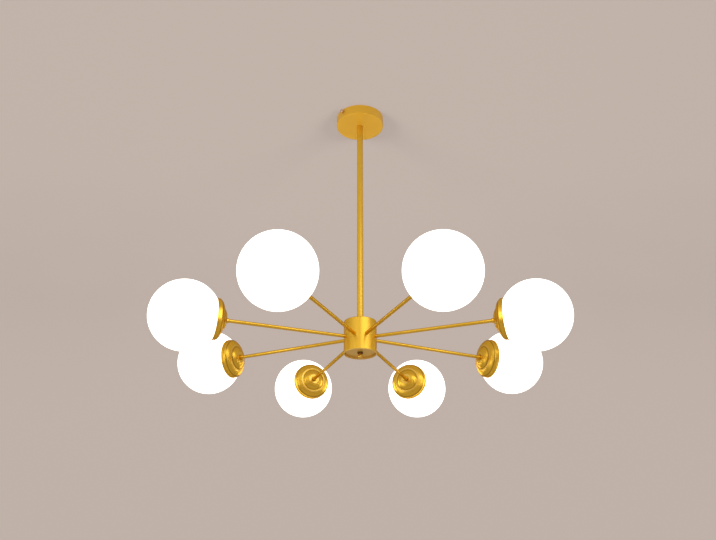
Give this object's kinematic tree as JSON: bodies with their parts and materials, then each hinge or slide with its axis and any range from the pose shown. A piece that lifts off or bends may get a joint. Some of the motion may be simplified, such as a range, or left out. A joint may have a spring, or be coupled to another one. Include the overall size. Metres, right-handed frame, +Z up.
{
  "type": "sputnik chandelier",
  "caption": "Ceiling light with a ring of straight arms on a drum hub, each ending in a stepped cap and a round opal glass globe, hung on a rigid stem from a round canopy.",
  "frame": {"origin": "on the stem's axis, in the plane of the ceiling that the canopy and the bracket seat on", "axes": "+Z up along the stem, against the ceiling; -Y towards the picture's viewer, between two arms"},
  "size_m": [0.8914, 0.8914, 0.6908],
  "materials": {
    "satin_gold": "satin gold lacquer on spun and drawn steel, fine brushed grain",
    "polished_gold": "polished, lacquered",
    "zinc_steel": "zinc plated",
    "opal_glass": "blown opal glass, glossy outside",
    "silicone": "soft translucent silicone",
    "white_plastic": "moulded",
    "black_plastic": "moulded phenolic",
    "cable_sheath": "extruded sheath",
    "bulb_diffuser": "opal diffuser"
  },
  "bodies": {
    "root": {"mounting_bracket": "zinc_steel", "stem_nipple": "zinc_steel", "stem_nuts": "zinc_steel", "stem_upper": "satin_gold", "stem_coupler": "zinc_steel", "stem_lower": "satin_gold", "hub_nipple": "zinc_steel", "hub_nut": "zinc_steel", "hub_body": "satin_gold", "hub_yoke": "zinc_steel", "hub_connector": "white_plastic", "supply_cable": "cable_sheath", "arm_nuts": "zinc_steel", "lamp_leads": "cable_sheath", "lampholders": "black_plastic", "arm_1": "satin_gold", "arm_2": "satin_gold", "arm_3": "satin_gold", "arm_4": "satin_gold", "arm_5": "satin_gold", "arm_6": "satin_gold", "arm_7": "satin_gold", "arm_8": "satin_gold", "cap_1": "satin_gold", "cap_2": "satin_gold", "cap_3": "satin_gold", "cap_4": "satin_gold", "cap_5": "satin_gold", "cap_6": "satin_gold", "cap_7": "satin_gold", "cap_8": "satin_gold"},
    "canopy": {"canopy": "satin_gold", "canopy_screws": "polished_gold", "canopy_weld_nuts": "zinc_steel"},
    "hub_cover": {"hub_cover": "satin_gold"},
    "finial": {"finial": "polished_gold"},
    "gasket_1": {"gasket_1": "silicone"},
    "globe_1": {"globe_1": "opal_glass"},
    "bulb_1": {"bulb_1": "bulb_diffuser"},
    "gasket_2": {"gasket_2": "silicone"},
    "globe_2": {"globe_2": "opal_glass"},
    "bulb_2": {"bulb_2": "bulb_diffuser"},
    "gasket_3": {"gasket_3": "silicone"},
    "globe_3": {"globe_3": "opal_glass"},
    "bulb_3": {"bulb_3": "bulb_diffuser"},
    "gasket_4": {"gasket_4": "silicone"},
    "globe_4": {"globe_4": "opal_glass"},
    "bulb_4": {"bulb_4": "bulb_diffuser"},
    "gasket_5": {"gasket_5": "silicone"},
    "globe_5": {"globe_5": "opal_glass"},
    "bulb_5": {"bulb_5": "bulb_diffuser"},
    "gasket_6": {"gasket_6": "silicone"},
    "globe_6": {"globe_6": "opal_glass"},
    "bulb_6": {"bulb_6": "bulb_diffuser"},
    "gasket_7": {"gasket_7": "silicone"},
    "globe_7": {"globe_7": "opal_glass"},
    "bulb_7": {"bulb_7": "bulb_diffuser"},
    "gasket_8": {"gasket_8": "silicone"},
    "globe_8": {"globe_8": "opal_glass"},
    "bulb_8": {"bulb_8": "bulb_diffuser"}
  },
  "joints": [
    {"name": "canopy_drop", "type": "slide", "parent": "root", "child": "canopy", "axis": [0, 0, -1], "range_m": [0, 0.54]},
    {"name": "finial_turn", "type": "hinge", "parent": "hub_cover", "child": "finial", "pos_m": [0, 0, -0.648], "axis": [0, 0, -1], "range_deg": [0, 2916]},
    {"name": "hub_cover_drop", "type": "slide", "parent": "root", "child": "hub_cover", "axis": [0, 0, -1], "range_m": [0, 0.008]},
    {"name": "globe_1_turn", "type": "hinge", "parent": "gasket_1", "child": "globe_1", "pos_m": [0.30624, 0.12685, -0.61363], "axis": [0.9238, 0.3826, -0.014], "range_deg": [0, 540]},
    {"name": "globe_1_out", "type": "slide", "parent": "root", "child": "gasket_1", "axis": [0.9238, 0.3826, -0.014], "range_m": [0, 0.0083]},
    {"name": "bulb_1_turn", "type": "hinge", "parent": "root", "child": "bulb_1", "pos_m": [0.33072, 0.13699, -0.614], "axis": [0.9238, 0.3826, -0.014], "range_deg": [0, 1080]},
    {"name": "globe_2_turn", "type": "hinge", "parent": "gasket_2", "child": "globe_2", "pos_m": [0.12685, 0.30624, -0.61363], "axis": [0.3826, 0.9238, -0.014], "range_deg": [0, 540]},
    {"name": "globe_2_out", "type": "slide", "parent": "root", "child": "gasket_2", "axis": [0.3826, 0.9238, -0.014], "range_m": [0, 0.0083]},
    {"name": "bulb_2_turn", "type": "hinge", "parent": "root", "child": "bulb_2", "pos_m": [0.13699, 0.33072, -0.614], "axis": [0.3826, 0.9238, -0.014], "range_deg": [0, 1080]},
    {"name": "globe_3_turn", "type": "hinge", "parent": "gasket_3", "child": "globe_3", "pos_m": [-0.12685, 0.30624, -0.61363], "axis": [-0.3826, 0.9238, -0.014], "range_deg": [0, 540]},
    {"name": "globe_3_out", "type": "slide", "parent": "root", "child": "gasket_3", "axis": [-0.3826, 0.9238, -0.014], "range_m": [0, 0.0083]},
    {"name": "bulb_3_turn", "type": "hinge", "parent": "root", "child": "bulb_3", "pos_m": [-0.13699, 0.33072, -0.614], "axis": [-0.3826, 0.9238, -0.014], "range_deg": [0, 1080]},
    {"name": "globe_4_turn", "type": "hinge", "parent": "gasket_4", "child": "globe_4", "pos_m": [-0.30624, 0.12685, -0.61363], "axis": [-0.9238, 0.3826, -0.014], "range_deg": [0, 540]},
    {"name": "globe_4_out", "type": "slide", "parent": "root", "child": "gasket_4", "axis": [-0.9238, 0.3826, -0.014], "range_m": [0, 0.0083]},
    {"name": "bulb_4_turn", "type": "hinge", "parent": "root", "child": "bulb_4", "pos_m": [-0.33072, 0.13699, -0.614], "axis": [-0.9238, 0.3826, -0.014], "range_deg": [0, 1080]},
    {"name": "globe_5_turn", "type": "hinge", "parent": "gasket_5", "child": "globe_5", "pos_m": [-0.30624, -0.12685, -0.61363], "axis": [-0.9238, -0.3826, -0.014], "range_deg": [0, 540]},
    {"name": "globe_5_out", "type": "slide", "parent": "root", "child": "gasket_5", "axis": [-0.9238, -0.3826, -0.014], "range_m": [0, 0.0083]},
    {"name": "bulb_5_turn", "type": "hinge", "parent": "root", "child": "bulb_5", "pos_m": [-0.33072, -0.13699, -0.614], "axis": [-0.9238, -0.3826, -0.014], "range_deg": [0, 1080]},
    {"name": "globe_6_turn", "type": "hinge", "parent": "gasket_6", "child": "globe_6", "pos_m": [-0.12685, -0.30624, -0.61363], "axis": [-0.3826, -0.9238, -0.014], "range_deg": [0, 540]},
    {"name": "globe_6_out", "type": "slide", "parent": "root", "child": "gasket_6", "axis": [-0.3826, -0.9238, -0.014], "range_m": [0, 0.0083]},
    {"name": "bulb_6_turn", "type": "hinge", "parent": "root", "child": "bulb_6", "pos_m": [-0.13699, -0.33072, -0.614], "axis": [-0.3826, -0.9238, -0.014], "range_deg": [0, 1080]},
    {"name": "globe_7_turn", "type": "hinge", "parent": "gasket_7", "child": "globe_7", "pos_m": [0.12685, -0.30624, -0.61363], "axis": [0.3826, -0.9238, -0.014], "range_deg": [0, 540]},
    {"name": "globe_7_out", "type": "slide", "parent": "root", "child": "gasket_7", "axis": [0.3826, -0.9238, -0.014], "range_m": [0, 0.0083]},
    {"name": "bulb_7_turn", "type": "hinge", "parent": "root", "child": "bulb_7", "pos_m": [0.13699, -0.33072, -0.614], "axis": [0.3826, -0.9238, -0.014], "range_deg": [0, 1080]},
    {"name": "globe_8_turn", "type": "hinge", "parent": "gasket_8", "child": "globe_8", "pos_m": [0.30624, -0.12685, -0.61363], "axis": [0.9238, -0.3826, -0.014], "range_deg": [0, 540]},
    {"name": "globe_8_out", "type": "slide", "parent": "root", "child": "gasket_8", "axis": [0.9238, -0.3826, -0.014], "range_m": [0, 0.0083]},
    {"name": "bulb_8_turn", "type": "hinge", "parent": "root", "child": "bulb_8", "pos_m": [0.33072, -0.13699, -0.614], "axis": [0.9238, -0.3826, -0.014], "range_deg": [0, 1080]}
  ],
  "couplings": [
    {"joint": "finial_turn", "follows": "hub_cover_drop", "rad_per_m": 6283.2},
    {"joint": "globe_1_out", "follows": "globe_1_turn", "m_per_rad": 0.00087535},
    {"joint": "globe_2_out", "follows": "globe_2_turn", "m_per_rad": 0.00087535},
    {"joint": "globe_3_out", "follows": "globe_3_turn", "m_per_rad": 0.00087535},
    {"joint": "globe_4_out", "follows": "globe_4_turn", "m_per_rad": 0.00087535},
    {"joint": "globe_5_out", "follows": "globe_5_turn", "m_per_rad": 0.00087535},
    {"joint": "globe_6_out", "follows": "globe_6_turn", "m_per_rad": 0.00087535},
    {"joint": "globe_7_out", "follows": "globe_7_turn", "m_per_rad": 0.00087535},
    {"joint": "globe_8_out", "follows": "globe_8_turn", "m_per_rad": 0.00087535}
  ]
}
